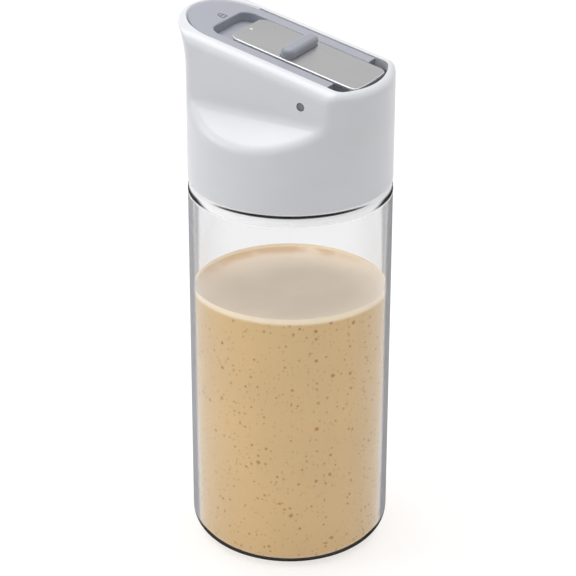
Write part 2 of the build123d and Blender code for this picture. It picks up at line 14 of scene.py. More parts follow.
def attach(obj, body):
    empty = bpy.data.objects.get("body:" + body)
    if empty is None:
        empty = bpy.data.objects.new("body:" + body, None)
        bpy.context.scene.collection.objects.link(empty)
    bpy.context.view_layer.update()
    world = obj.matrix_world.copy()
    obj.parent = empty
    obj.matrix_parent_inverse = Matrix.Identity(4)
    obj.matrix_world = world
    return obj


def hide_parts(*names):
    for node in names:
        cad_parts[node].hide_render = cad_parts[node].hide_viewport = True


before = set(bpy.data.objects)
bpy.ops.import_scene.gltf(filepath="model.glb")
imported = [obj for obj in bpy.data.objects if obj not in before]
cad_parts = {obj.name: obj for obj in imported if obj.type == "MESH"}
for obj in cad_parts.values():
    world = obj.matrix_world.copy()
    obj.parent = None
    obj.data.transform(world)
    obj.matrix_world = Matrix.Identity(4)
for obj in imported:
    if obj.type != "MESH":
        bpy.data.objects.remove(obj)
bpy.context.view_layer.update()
LOG = logging.getLogger("shaker")

MM = 0.001
TOP_Z = 177.5 * MM
TOP_SLOPE = math.radians(11.9)
Place = tuple[float, float, float]
Colour = tuple[float, float, float]
Span = tuple[float, float]
Outline = list[tuple[float, float]]
ORIGIN: Place = (0.0, 0.0, 0.0)
BLACK: Colour = (0.0, 0.0, 0.0)


class Body(Enum):
    """The moving bodies that the pieces made here ride on."""

    BOTTLE = "bottle"
    LID = "lid"
    FLAP = "flap"
    LOCK = "lock"


class Slot(Enum):
    """The record's material slots, named for the pieces made here."""

    GLASS = "clear_glass"
    DRESSING = "dressing"
    WHITE = "white_plastic"
    GREY = "grey_plastic"
    PLATE = "brushed_plate"


class Wire:
    """One output of a shader node, which Python's operators work on."""

    def __init__(self, shade: "Shade", out: "bpy.types.NodeSocket | None") -> None:
        """Keeps the socket and the shade whose tree it is in.

        Args:
            shade: The shade that adds the nodes.
            out: The output socket, or None for a node that has none.
        """
        self.shade = shade
        self.out = out

    def sibling(self, name: int | str) -> "Wire":
        """Another output of the same node, by its name or number."""
        return Wire(self.shade, self.out.node.outputs[name])

    def math(self, operation: str, *others: "Wire | float") -> "Wire":
        """Adds a Math node with this wire as its first input.

        Args:
            operation: The Math node's operation.
            others: Its further inputs.

        Returns:
            The node's value.
        """
        inputs = {0: self, **{i + 1: other for i, other in enumerate(others)}}
        return self.shade.node("ShaderNodeMath", {"operation": operation}, inputs)

    def __add__(self, other: "Wire | float") -> "Wire":
        """Adds."""
        return self.math("ADD", other)

    __radd__ = __add__

    def __mul__(self, other: "Wire | float") -> "Wire":
        """Multiplies."""
        return self.math("MULTIPLY", other)

    __rmul__ = __mul__

    def __sub__(self, other: "Wire | float") -> "Wire":
        """Subtracts the other."""
        return self.math("SUBTRACT", other)

    def __rsub__(self, other: float) -> "Wire":
        """Subtracts this wire from a number."""
        return self * -1.0 + other

    def __truediv__(self, other: "Wire | float") -> "Wire":
        """Divides by the other."""
        return self.math("DIVIDE", other)

    def __pow__(self, other: float) -> "Wire":
        """Raises to a power."""
        return self.math("POWER", other)

    def ramp(self, low: float, high: float) -> "Wire":
        """Rises smoothly from 0 to 1 between two values.

        Args:
            low: The value that gives 0.
            high: The value that gives 1.

        Returns:
            The smooth step.
        """
        settings = {"interpolation_type": "SMOOTHSTEP"}
        inputs = {"Value": self, "From Min": low, "From Max": high}
        return self.shade.node("ShaderNodeMapRange", settings, inputs)


class Shade:
    """The node tree of a material or a world, and short ways to add to it."""

    def __init__(self, owner: "bpy.types.Material | bpy.types.World") -> None:
        """Empties the tree.

        Args:
            owner: The material or world whose tree it is.
        """
        owner.use_nodes = True
        self.owner = owner
        self.tree = owner.node_tree
        self.tree.nodes.clear()
        self.coordinates: Wire | None = None

    @classmethod
    def fresh(cls, name: str) -> "Shade":
        """Starts an empty material of this name."""
        return cls(bpy.data.materials.new(name))

    def node(
        self, kind: str, settings: dict | None = None, inputs: dict | None = None,
        out: int | str = 0,
    ) -> Wire:
        """Adds any node.

        Args:
            kind: The node's type.
            settings: Its properties, and a ramp's stops under "stops".
            inputs: Values or wires by socket name or number.
            out: The output that is wanted.

        Returns:
            That output.
        """
        made = self.tree.nodes.new(kind)
        for key, value in (settings or {}).items():
            if key == "stops":
                set_stops(made.color_ramp, value)
            else:
                setattr(made, key, value)
        for key, value in (inputs or {}).items():
            if isinstance(value, Wire):
                self.tree.links.new(value.out, made.inputs[key])
            else:
                made.inputs[key].default_value = value
        return Wire(self, made.outputs[out] if len(made.outputs) else None)

    def place(self) -> Wire:
        """The object coordinates, which are looked up once.

        Returns:
            The place, in metres.
        """
        if self.coordinates is None:
            self.coordinates = self.node("ShaderNodeTexCoord", out="Object")
        return self.coordinates

    def axes(self) -> tuple[Wire, Wire, Wire]:
        """The x, y and z of the object coordinates."""
        first = self.node("ShaderNodeSeparateXYZ", {}, {0: self.place()})
        return first, first.sibling(1), first.sibling(2)

    def rays(self, *kinds: str) -> Wire:
        """Tells some kinds of light path from the rest.

        Args:
            kinds: The Light Path node's outputs for those kinds.

        Returns:
            1 on these paths and 0 on all others.
        """
        path = self.node("ShaderNodeLightPath")
        total = path.sibling(kinds[0])
        for kind in kinds[1:]:
            total = total + path.sibling(kind)
        return total.math("MINIMUM", 1.0)

    def noise(self, scale: float, detail: float, where: Wire | None = None) -> Wire:
        """A noise value from 0 to 1.

        Args:
            scale: Waves per metre.
            detail: How many finer layers it has.
            where: Coordinates other than the object's.

        Returns:
            The noise.
        """
        inputs = {"Vector": where or self.place(), "Scale": scale, "Detail": detail}
        return self.node("ShaderNodeTexNoise", {}, inputs)

    def blend(self, share: Wire, first: "Wire | Colour", second: "Wire | Colour") -> Wire:
        """Mixes two colours.

        Args:
            share: How much of the second shows, from 0 to 1.
            first: The first colour.
            second: The second colour.

        Returns:
            The mixed colour.
        """
        inputs = {0: share, 6: solid(first), 7: solid(second)}
        return self.node("ShaderNodeMix", {"data_type": "RGBA"}, inputs, 2)

    def bump(self, height: Wire, depth: float) -> Wire:
        """A normal bent by a height.

        Args:
            height: The height, from 0 to 1.
            depth: What a height of 1 stands for, in metres.

        Returns:
            The normal.
        """
        inputs = {"Height": height, "Distance": depth, "Strength": 1.0}
        return self.node("ShaderNodeBump", {}, inputs)

    def finish(self, inputs: dict) -> bpy.types.Material:
        """Adds the surface shader and ends the material.

        Args:
            inputs: The Principled node's inputs.

        Returns:
            The material.
        """
        surface = self.node("ShaderNodeBsdfPrincipled", {}, inputs)
        self.node("ShaderNodeOutputMaterial", {}, {"Surface": surface})
        return self.owner


def solid(colour: "Wire | Colour") -> "Wire | tuple[float, ...]":
    """Gives a plain colour its alpha."""
    return colour if isinstance(colour, Wire) else (*colour, 1.0)


def scaled(colour: Colour, by: float) -> Colour:
    """A colour made darker or lighter by a factor."""
    return tuple(channel * by for channel in colour)


def set_stops(ramp: bpy.types.ColorRamp, stops: Sequence[tuple[float, Colour]]) -> None:
    """Sets a colour ramp's stops.

    Args:
        ramp: The ramp.
        stops: Positions and colours, in order.
    """
    while len(ramp.elements) < len(stops):
        ramp.elements.new(1.0)
    for element, (position, colour) in zip(ramp.elements, stops):
        element.position = position
        element.color = (*colour, 1.0)


@dataclass(frozen=True)
class MouldedPlastic:
    """A moulded plastic with a fine skin and faint changes of tone."""

    name: str
    colour: Colour
    roughness: float
    uneven: float = 0.08
    grain_scale: float = 2600.0
    grain_depth: float = 0.006 * MM
    tone_scale: float = 45.0
    tone_change: float = 0.03
    ior: float = 1.49

    def material(self) -> bpy.types.Material:
        """Builds the finish.

        Returns:
            The material.
        """
        shade = Shade.fresh(self.name)
        tone = shade.noise(self.tone_scale, 3.0).ramp(0.3, 0.7)
        grain = shade.noise(self.grain_scale, 2.0)
        darker = scaled(self.colour, 1.0 - self.tone_change)
        return shade.finish({
            "Base Color": shade.blend(tone, darker, self.colour),
            "Roughness": grain * self.uneven + (self.roughness - self.uneven / 2),
            "Normal": shade.bump(grain, self.grain_depth),
            "IOR": self.ior,
        })


@dataclass(frozen=True)
class DrawnSteel:
    """A bright drawn or turned steel."""

    name: str
    colour: Colour = (0.46, 0.46, 0.47)
    roughness: float = 0.28
    uneven: float = 0.16
    scratch_scale: float = 5200.0
    scratch_depth: float = 0.002 * MM
    scratch_tone: float = 0.85

    def material(self) -> bpy.types.Material:
        """Builds the finish.

        Returns:
            The material.
        """
        shade = Shade.fresh(self.name)
        scratches = shade.noise(self.scratch_scale, 3.0)
        darker = scaled(self.colour, self.scratch_tone)
        return shade.finish({
            "Base Color": shade.blend(scratches, darker, self.colour),
            "Metallic": 1.0,
            "Roughness": scratches * self.uneven + (self.roughness - self.uneven / 2),
            "Normal": shade.bump(scratches, self.scratch_depth),
        })


@dataclass(frozen=True)
class Silicone:
    """A soft seal, slightly translucent."""

    name: str
    colour: Colour = (0.62, 0.64, 0.67)
    roughness: float = 0.42
    uneven: float = 0.14
    bloom_scale: float = 160.0
    bloom_tone: float = 0.93
    dust_scale: float = 1900.0
    dust_depth: float = 0.004 * MM
    translucent: float = 0.15
    light_reach: float = 0.8 * MM

    def material(self) -> bpy.types.Material:
        """Builds the finish.

        Returns:
            The material.
        """
        shade = Shade.fresh(self.name)
        bloom = shade.noise(self.bloom_scale, 4.0).ramp(0.35, 0.7)
        dust = shade.noise(self.dust_scale, 2.0)
        return shade.finish({
            "Base Color": shade.blend(bloom, scaled(self.colour, self.bloom_tone), self.colour),
            "Roughness": dust * self.uneven + (self.roughness - self.uneven / 2),
            "Normal": shade.bump(dust, self.dust_depth),
            "Subsurface Weight": self.translucent,
            "Subsurface Radius": (1.0, 1.0, 1.0),
            "Subsurface Scale": self.light_reach,
        })


@dataclass(frozen=True)
class BrushedPlate:
    """Stainless steel brushed along its length, with polished edges and one printed white dot.

    The fine and the broad streaks are given as waves per metre along the plate and across it.
    """

    name: str
    colour: Colour = (0.515, 0.515, 0.522)
    brush_tone: float = 0.8
    polished: Colour = (0.98, 0.98, 0.98)
    polished_depths: Span = (0.01 * MM, 0.06 * MM)
    roughness: float = 0.34
    uneven: float = 0.2
    brush_depth: float = 0.004 * MM
    fine: Span = (30.0, 5200.0)
    broad: Span = (12.0, 900.0)
    fine_share: float = 0.7
    dot_colour: Colour = (0.92, 0.92, 0.92)
    dot_x: float = -14.9 * MM
    dot_r: float = 0.5 * MM
    dot_soft: float = 0.1 * MM

    def material(self) -> bpy.types.Material:
        """Builds the finish.

        Returns:
            The material.
        """
        shade = Shade.fresh(self.name)
        x, y, z = shade.axes()
        along = x * math.cos(TOP_SLOPE) - (z - TOP_Z) * math.sin(TOP_SLOPE)
        depth = (TOP_Z - z) * math.cos(TOP_SLOPE) - x * math.sin(TOP_SLOPE)
        streaks = []
        for scales, detail in ((self.fine, 4.0), (self.broad, 2.0)):
            drawn_out = {0: along * scales[0], 1: y * scales[1], 2: 0.0}
            where = shade.node("ShaderNodeCombineXYZ", {}, drawn_out)
            streaks.append(shade.noise(1.0, detail, where))
        brushing, bands = streaks
        lines = brushing * self.fine_share + bands * (1.0 - self.fine_share)
        steel = shade.blend(lines, scaled(self.colour, self.brush_tone), self.colour)
        steel = shade.blend(depth.ramp(*self.polished_depths), steel, self.polished)
        from_dot = ((x - self.dot_x) ** 2.0 + y ** 2.0).math("SQRT")
        dot = 1.0 - from_dot.ramp(self.dot_r - self.dot_soft, self.dot_r + self.dot_soft)
        return shade.finish({
            "Base Color": shade.blend(dot, steel, self.dot_colour),
            "Metallic": 1.0 - dot,
            "Roughness": brushing * self.uneven + (self.roughness - self.uneven / 2),
            "Normal": shade.bump(brushing, self.brush_depth),
        })


@dataclass(frozen=True)
class ClearGlass:
    """Clear glass with painted shade at its edges, painted shadow at the foot and under the collar,
    and a painted highlight and glow on the shoulder.

    Spans named for facing are of the Layer Weight node's facing value, which is 0 where the wall
    is seen straight on and 1 where it is seen along. The others are heights.
    """

    name: str
    body: Colour = (0.925, 0.93, 0.94)
    ior: float = 1.5
    ripple_scale: float = 26.0
    ripple_depth: float = 0.02 * MM
    let_through: Colour = (0.985, 0.985, 0.985)
    soft: float = 0.3 * MM
    grey: Colour = (0.41, 0.415, 0.44)
    grey_rough: float = 0.5
    edge_facing: Span = (0.655, 0.76)
    edge_share: float = 0.92
    painted_grey_facing: Span = (0.2, 0.55)
    painted_grey: float = 0.016
    painted_grey_side: float = 0.075
    shoulder_highlight: Colour = (0.92, 0.925, 0.935)
    shoulder_painted_glow: float = 0.24
    shoulder_share: float = 0.92
    shoulder_low: float = 128.3 * MM
    shoulder_top: float = 131.75 * MM
    shadow_line_z: float = 130.85 * MM
    shadow_line_facing: Span = (0.26, 0.36)
    side_shade: Span = (129.9 * MM, 130.7 * MM)
    side_shade_facing: Span = (0.40, 0.55)
    shadow_line_share: float = 0.98
    painted_dark: Colour = (0.03, 0.028, 0.028)
    foot_top: float = 8.0 * MM
    foot_fades: float = 0.8
    foot_facing: Span = (0.25, 0.31)
    foot_slant: float = 0.4
    foot_share: float = 0.97

    def painted_light_and_shade(self, shade: Shade) -> tuple[Wire, Wire, Wire]:
        """The painted shade, shadow, highlight and glow on the edges, the foot and the rounded
        shoulder.

        Args:
            shade: The shade to add it to.

        Returns:
            How much of it shows, its colour, and its painted glow.
        """
        facing = shade.node("ShaderNodeLayerWeight", {}, {"Blend": 0.5}, "Facing")
        z = shade.axes()[2]
        soft = self.soft
        on_shoulder = z.ramp(self.shoulder_low, self.shoulder_low + 2.0 * soft)
        on_shoulder = on_shoulder * (1.0 - z.ramp(self.shoulder_top, self.shoulder_top + soft))
        # Painted shadow: a dark line along the rounded edge of the foot.
        foot_shadow = (facing - z * (self.foot_slant / self.foot_top)).ramp(*self.foot_facing)
        foot_shadow = foot_shadow * (1.0 - z.ramp(self.foot_fades * self.foot_top, self.foot_top))
        # Painted shadow: a dark line just under the collar, and dark crescents low on the shoulder's
        # sides.
        line = z.ramp(self.shadow_line_z, self.shadow_line_z + soft) * (1.0 - facing.ramp(*self.shadow_line_facing))
        side_shade = (1.0 - z.ramp(*self.side_shade)) * facing.ramp(*self.side_shade_facing)
        painted_dark = on_shoulder * line.math("MAXIMUM", side_shade)
        # Painted shade: grey where the wall is seen along, and a faint painted grey over all the
        # glass that grows towards its sides.
        share = facing.ramp(*self.edge_facing) * self.edge_share
        painted_grey = facing.ramp(*self.painted_grey_facing) * self.painted_grey_side + self.painted_grey
        # Painted highlight: a pale band over the rounded shoulder, which also carries a painted
        # glow.
        shoulder = on_shoulder * self.shoulder_share
        for other in (foot_shadow * self.foot_share, painted_grey, shoulder, painted_dark * self.shadow_line_share):
            share = share.math("MAXIMUM", other)
        above = z.ramp(self.shoulder_low - 2.0 * soft, self.shoulder_low)
        colour = shade.blend(above, self.grey, self.shoulder_highlight)
        colour = shade.blend(painted_dark.math("MAXIMUM", foot_shadow), colour, self.painted_dark)
        light = scaled(self.shoulder_highlight, self.shoulder_painted_glow)
        return share, colour, shade.blend(above * (1.0 - painted_dark), BLACK, light)

    def material(self) -> bpy.types.Material:
        """Builds the finish. Shadow and diffuse rays pass it as if it were plain clear.

        Returns:
            The material.
        """
        shade = Shade.fresh(self.name)
        glass = shade.node("ShaderNodeBsdfPrincipled", {}, {
            "Base Color": solid(self.body),
            "Roughness": 0.0,
            "IOR": self.ior,
            "Transmission Weight": 1.0,
            "Normal": shade.bump(shade.noise(self.ripple_scale, 1.0), self.ripple_depth),
        })
        share, colour, glow = self.painted_light_and_shade(shade)
        # This shader draws the painted shade, shadow, highlight and glow of the glass.
        edge = shade.node("ShaderNodeBsdfPrincipled", {}, {
            "Base Color": colour,
            "Roughness": self.grey_rough,
            "Specular IOR Level": 0.0,
            "Emission Color": glow,
            "Emission Strength": 1.0,
        })
        seen = shade.node("ShaderNodeMixShader", {}, {0: share, 1: glass, 2: edge})
        passing = shade.rays("Is Shadow Ray", "Is Diffuse Ray")
        clear = shade.node("ShaderNodeBsdfTransparent", {}, {"Color": solid(self.let_through)})
        mixed = shade.node("ShaderNodeMixShader", {}, {0: passing, 1: seen, 2: clear})
        shade.node("ShaderNodeOutputMaterial", {}, {"Surface": mixed})
        return shade.owner


@dataclass(frozen=True)
class FleckLayer:
    """One layer of flecks of a like size.

    Its sizes are the cells per metre, the largest radius in cells, a shift that makes the layer
    its own, and how strongly it shows.
    """

    scale: float
    size: float
    seed: float
    strength: float

    def add(self, shade: Shade) -> tuple[Wire, Wire]:
        """Scatters the flecks.

        Args:
            shade: The shade to add them to.

        Returns:
            Where the flecks are, and a random value for each.
        """
        shift = {0: shade.place(), 1: (self.seed, self.seed, self.seed)}
        moved = shade.node("ShaderNodeVectorMath", {"operation": "ADD"}, shift)
        cells = shade.node("ShaderNodeTexVoronoi", {}, {"Vector": moved, "Scale": self.scale})
        chance = shade.node("ShaderNodeSeparateColor", {}, {0: cells.sibling("Color")})
        near = cells.sibling("Distance") / (chance * self.size)
        return 1.0 - near.ramp(0.55, 1.0), chance.sibling(1)


@dataclass(frozen=True)
class Vinaigrette:
    """A cloudy dressing with herb and pepper flecks and a paler film on top, with painted shade,
    shadow, highlight and glow.
    """

    name: str
    level: float
    rise: float
    side: Colour = (0.96, 0.63, 0.25)
    cloud_scale: float = 38.0
    cloud_tone: float = 0.95
    left_painted_shade: float = 0.8
    left: Span = (10.0 * MM, 31.0 * MM)
    layers: tuple[FleckLayer, ...] = (
        FleckLayer(300.0, 0.29, 0.0, 0.75),
        FleckLayer(470.0, 0.31, 3.7, 0.65),
        FleckLayer(760.0, 0.34, 9.1, 0.5),
    )
    fleck_tones: tuple[tuple[float, Colour], ...] = (
        (0.0, (0.46, 0.15, 0.0)),
        (0.4, (0.62, 0.14, 0.0)),
        (0.7, (0.42, 0.24, 0.01)),
        (1.0, (0.68, 0.27, 0.0)),
    )
    film: Colour = (0.97, 0.81, 0.63)
    film_painted_glow: float = 0.16
    film_below: Span = (0.3 * MM, 0.1 * MM)
    film_ends: Span = (31.0 * MM, 31.9 * MM)
    film_swirl_and_shade: Colour = (0.70, 0.54, 0.38)
    film_shade_aim: Span = (-0.86, -0.5)
    film_shade_reach: Span = (8.0 * MM, 36.0 * MM)
    swirl_scale: float = 60.0
    swirl_share: float = 0.25
    rim: Colour = (1.0, 0.84, 0.60)
    rim_painted_glow: float = 0.22
    rim_heights: Span = (-1.2 * MM, 0.4 * MM)
    far_shadow: Colour = (0.62, 0.34, 0.11)
    far_shadow_share: float = 0.8
    far_shadow_aim: Span = (-0.9, 0.8)
    far_shadow_reach: Span = (6.0 * MM, 30.0 * MM)
    far_shadow_ring: Span = (25.0 * MM, 30.0 * MM)
    far_shadow_scale: float = 85.0
    roughness: float = 0.4
    uneven: float = 0.1
    froth_scale: float = 420.0
    froth_depth: float = 0.02 * MM
    ior: float = 1.36
    specular: float = 0.1

    def body(self, shade: Shade, x: Wire, cloud: Wire) -> Wire:
        """The colour of the dressing seen through the glass, darker towards the left as painted
        shade.

        Args:
            shade: The shade to add it to.
            x: The place along x.
            cloud: The slow change of tone.

        Returns:
            The colour.
        """
        colour = shade.blend(cloud, scaled(self.side, self.cloud_tone), self.side)
        # Painted shade: the dressing darkens towards the left.
        colour = shade.blend((x * -1.0).ramp(*self.left), colour, scaled(self.side, self.left_painted_shade))
        for layer in self.layers:
            mask, chance = layer.add(shade)
            tone = shade.node("ShaderNodeValToRGB", {"stops": self.fleck_tones}, {0: chance})
            colour = shade.blend(mask * layer.strength, colour, tone)
        return colour

    def surface(self, shade: Shade, x: Wire, y: Wire, radius: Wire) -> Wire:
        """The colour of the film on top, with painted shade towards its left and a painted shadow,
        broken up by noise, at its far left rim.

        Args:
            shade: The shade to add it to.
            x: The place along x.
            y: The place along y.
            radius: The distance from the axis.

        Returns:
            The colour.
        """
        swirl = shade.noise(self.swirl_scale, 5.0).ramp(0.3, 0.7)
        # Painted shade: the film darkens towards its left; the swirl's random tone uses the same
        # darker colour.
        left_film_shade = (x * self.film_shade_aim[0] + y * self.film_shade_aim[1]).ramp(*self.film_shade_reach)
        # Painted shadow at the far left rim of the film, broken up by noise.
        at_far_shadow = (x * self.far_shadow_aim[0] + y * self.far_shadow_aim[1]).ramp(*self.far_shadow_reach)
        far_shadow_breakup = shade.noise(self.far_shadow_scale, 3.0).ramp(0.28, 0.6)
        in_far_shadow = radius.ramp(*self.far_shadow_ring) * at_far_shadow * far_shadow_breakup
        film = shade.blend(left_film_shade, self.film, self.film_swirl_and_shade)
        film = shade.blend(swirl * self.swirl_share, film, self.film_swirl_and_shade)
        return shade.blend(in_far_shadow * self.far_shadow_share, film, self.far_shadow)

    def material(self) -> bpy.types.Material:
        """Builds the finish.

        Returns:
            The material.
        """
        shade = Shade.fresh(self.name)
        x, y, z = shade.axes()
        cloud = shade.noise(self.cloud_scale, 4.0).ramp(0.25, 0.75)
        radius = (x ** 2.0 + y ** 2.0).math("SQRT")
        flat = self.level - self.rise
        on_top = z.ramp(flat - self.film_below[0], flat - self.film_below[1])
        on_top = on_top * (1.0 - radius.ramp(*self.film_ends))
        # Painted highlight: a paler band where the dressing meets the glass.
        rim_highlight = z.ramp(flat + self.rim_heights[0], flat + self.rim_heights[1])
        colour = shade.blend(rim_highlight, self.body(shade, x, cloud), self.rim)
        colour = shade.blend(on_top, colour, self.surface(shade, x, y, radius))
        # Painted glow on the meniscus band and on the film, through Emission Color.
        glow = shade.blend(rim_highlight, BLACK, scaled(self.rim, self.rim_painted_glow))
        glow = shade.blend(on_top, glow, scaled(self.film, self.film_painted_glow))
        return shade.finish({
            "Base Color": colour,
            "Roughness": cloud * self.uneven + self.roughness,
            "Normal": shade.bump(shade.noise(self.froth_scale, 3.0), self.froth_depth),
            "IOR": self.ior,
            "Specular IOR Level": self.specular,
            "Emission Color": glow,
            "Emission Strength": 1.0,
        })


@dataclass(frozen=True)
class PrintedInk:
    """The printed mark on the flap, a little worn."""

    name: str
    colour: Colour = (0.12, 0.125, 0.145)
    worn_tone: float = 1.35
    wear_scale: float = 3000.0
    roughness: float = 0.35
    uneven: float = 0.2

    def material(self) -> bpy.types.Material:
        """Builds the finish.

        Returns:
            The material.
        """
        shade = Shade.fresh(self.name)
        wear = shade.noise(self.wear_scale, 3.0).ramp(0.3, 0.8)
        return shade.finish({
            "Base Color": shade.blend(wear, self.colour, scaled(self.colour, self.worn_tone)),
            "Roughness": wear * self.uneven + self.roughness,
        })


def dress(node: str, material: bpy.types.Material) -> None:
    """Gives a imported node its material.

    Args:
        node: The node's name.
        material: Its finish.
    """
    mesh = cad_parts[node].data
    mesh.materials.clear()
    mesh.materials.append(material)
    LOG.info("dressed %s", node)


def on_slope(along: float, across: float, above: float) -> Place:
    """Where a place in the sloping top's own frame is.

    Args:
        along: Down the slope from the bottle's axis.
        across: Across it.
        above: Up from it.

    Returns:
        The place in the shared frame.
    """
    level, tip = math.cos(TOP_SLOPE), math.sin(TOP_SLOPE)
    return (along * level + above * tip, across, TOP_Z - along * tip + above * level)


def arc(centre: Span, radius: float, start: float, end: float, steps: int) -> Outline:
    """Points on an arc in the plane of radius and height.

    Args:
        centre: The arc's centre.
        radius: Its radius.
        start: The angle of its first point, in degrees.
        end: The angle of its last point.
        steps: How many runs it has.

    Returns:
        The points.
    """
    angles = [math.radians(start + (end - start) * i / steps) for i in range(steps + 1)]
    return [(centre[0] + radius * math.cos(a), centre[1] + radius * math.sin(a)) for a in angles]


class Modeller:
    """Modelling steps that work on one mesh at a time, through Blender's own operators."""

    @staticmethod
    def clear() -> None:
        """Leaves edit mode and deselects everything."""
        if bpy.context.mode != "OBJECT":
            Modeller.leave()
        bpy.ops.object.select_all(action="DESELECT")

    @staticmethod
    def edit() -> None:
        """Enters edit mode with all of the piece selected."""
        bpy.ops.object.mode_set(mode="EDIT")
        Modeller.every()

    @staticmethod
    def every() -> None:
        """Selects all of the piece in edit mode."""
        bpy.ops.mesh.select_all(action="SELECT")

    @staticmethod
    def leave() -> None:
        """Leaves edit mode."""
        bpy.ops.object.mode_set(mode="OBJECT")

    @staticmethod
    def close() -> None:
        """Points every face outwards and leaves edit mode."""
        Modeller.every()
        bpy.ops.mesh.normals_make_consistent(inside=False)
        Modeller.leave()

    @staticmethod
    def take(piece: bpy.types.Object) -> None:
        """Selects one piece alone.

        Args:
            piece: The piece.
        """
        Modeller.clear()
        piece.select_set(True)
        bpy.context.view_layer.objects.active = piece

    @staticmethod
    def named(name: str) -> bpy.types.Object:
        """Names the newest object.

        Args:
            name: Its name, and its mesh's.

        Returns:
            The object.
        """
        piece = bpy.context.object
        piece.name = piece.data.name = name
        return piece

    @staticmethod
    def ring(name: str, radius: float, z: float, sides: int) -> bpy.types.Object:
        """Starts a piece as an open ring of edges, in edit mode and selected.

        Args:
            name: The piece's name.
            radius: The ring's radius.
            z: Its height.
            sides: Its edges.

        Returns:
            The new object.
        """
        Modeller.clear()
        bpy.ops.mesh.primitive_circle_add(vertices=sides, radius=radius, fill_type="NOTHING")
        piece = Modeller.named(name)
        Modeller.edit()
        bpy.ops.transform.translate(value=(0.0, 0.0, z))
        return piece

    @staticmethod
    def step(start: Span, end: Span) -> None:
        """Extrudes the selected ring.

        Args:
            start: Its radius and height.
            end: The new radius and height.
        """
        rise = (0.0, 0.0, end[1] - start[1])
        bpy.ops.mesh.extrude_edges_move(TRANSFORM_OT_translate={"value": rise})
        ratio = end[0] / start[0]
        bpy.ops.transform.resize(value=(ratio, ratio, 1.0), center_override=ORIGIN)

    @staticmethod
    def pick(piece: bpy.types.Object, test: Callable[[Vector], bool]) -> None:
        """Selects in edit mode the vertices that pass a test of their place.

        Args:
            piece: The piece in edit mode.
            test: The test.
        """
        bpy.ops.mesh.select_mode(type="VERT")
        bpy.ops.mesh.select_all(action="DESELECT")
        mesh = bmesh.from_edit_mesh(piece.data)
        for vertex in mesh.verts:
            vertex.select = test(vertex.co)
        mesh.select_flush(True)
        bmesh.update_edit_mesh(piece.data)

    @staticmethod
    def at(place: Vector, radius: float, z: float) -> bool:
        """True where a vertex lies on the ring of this radius and height."""
        return abs(place.z - z) < 1e-6 and abs(math.hypot(place.x, place.y) - radius) < 1e-5

    @staticmethod
    def turned(name: str, outline: Outline, sides: int) -> bpy.types.Object:
        """A turned piece from an outline of radii and heights, like work on a lathe.

        Args:
            name: The piece's name.
            outline: Radii and heights, from a place on the axis to another.
            sides: The steps round the axis.

        Returns:
            The piece, in object mode.
        """
        points = outline[1:-1]
        piece = Modeller.ring(name, *points[0], sides)
        for before, point in zip(points, points[1:]):
            Modeller.step(before, point)
        for tip, end in ((outline[-1], points[-1]), (outline[0], points[0])):
            Modeller.pick(piece, lambda co: Modeller.at(co, *end))
            rise = (0.0, 0.0, tip[1] - end[1])
            bpy.ops.mesh.extrude_edges_move(TRANSFORM_OT_translate={"value": rise})
            bpy.ops.mesh.merge(type="CENTER")
        Modeller.close()
        return piece

    @staticmethod
    def smooth(piece: bpy.types.Object, degrees: float) -> None:
        """Shades a piece smooth but for its sharp edges.

        Args:
            piece: The piece.
            degrees: The angle past which an edge is sharp.
        """
        Modeller.take(piece)
        bpy.ops.object.shade_smooth_by_angle(angle=math.radians(degrees))

    @staticmethod
    def apply(piece: bpy.types.Object, kind: str, **settings: object) -> None:
        """Adds a modifier and applies it.

        Args:
            piece: The piece.
            kind: The modifier's type.
            settings: Its properties.
        """
        Modeller.take(piece)
        modifier = piece.modifiers.new(kind.lower(), kind)
        for key, value in settings.items():
            setattr(modifier, key, value)
        bpy.ops.object.modifier_apply(modifier=modifier.name)

    @staticmethod
    def settle(
        piece: bpy.types.Object, body: Body, slot: Slot, material: bpy.types.Material,
        replaces: Iterable[str] = (),
    ) -> None:
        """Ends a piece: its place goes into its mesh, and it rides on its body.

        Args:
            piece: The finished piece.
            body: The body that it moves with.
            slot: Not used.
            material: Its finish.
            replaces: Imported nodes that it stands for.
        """
        Modeller.take(piece)
        bpy.ops.object.transform_apply(location=True, rotation=True, scale=True)
        piece.data.materials.clear()
        piece.data.materials.append(material)
        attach(piece, body.value)
        names = list(replaces)
        if names:
            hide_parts(*names)
        LOG.info("made %s on %s", piece.name, body.value)


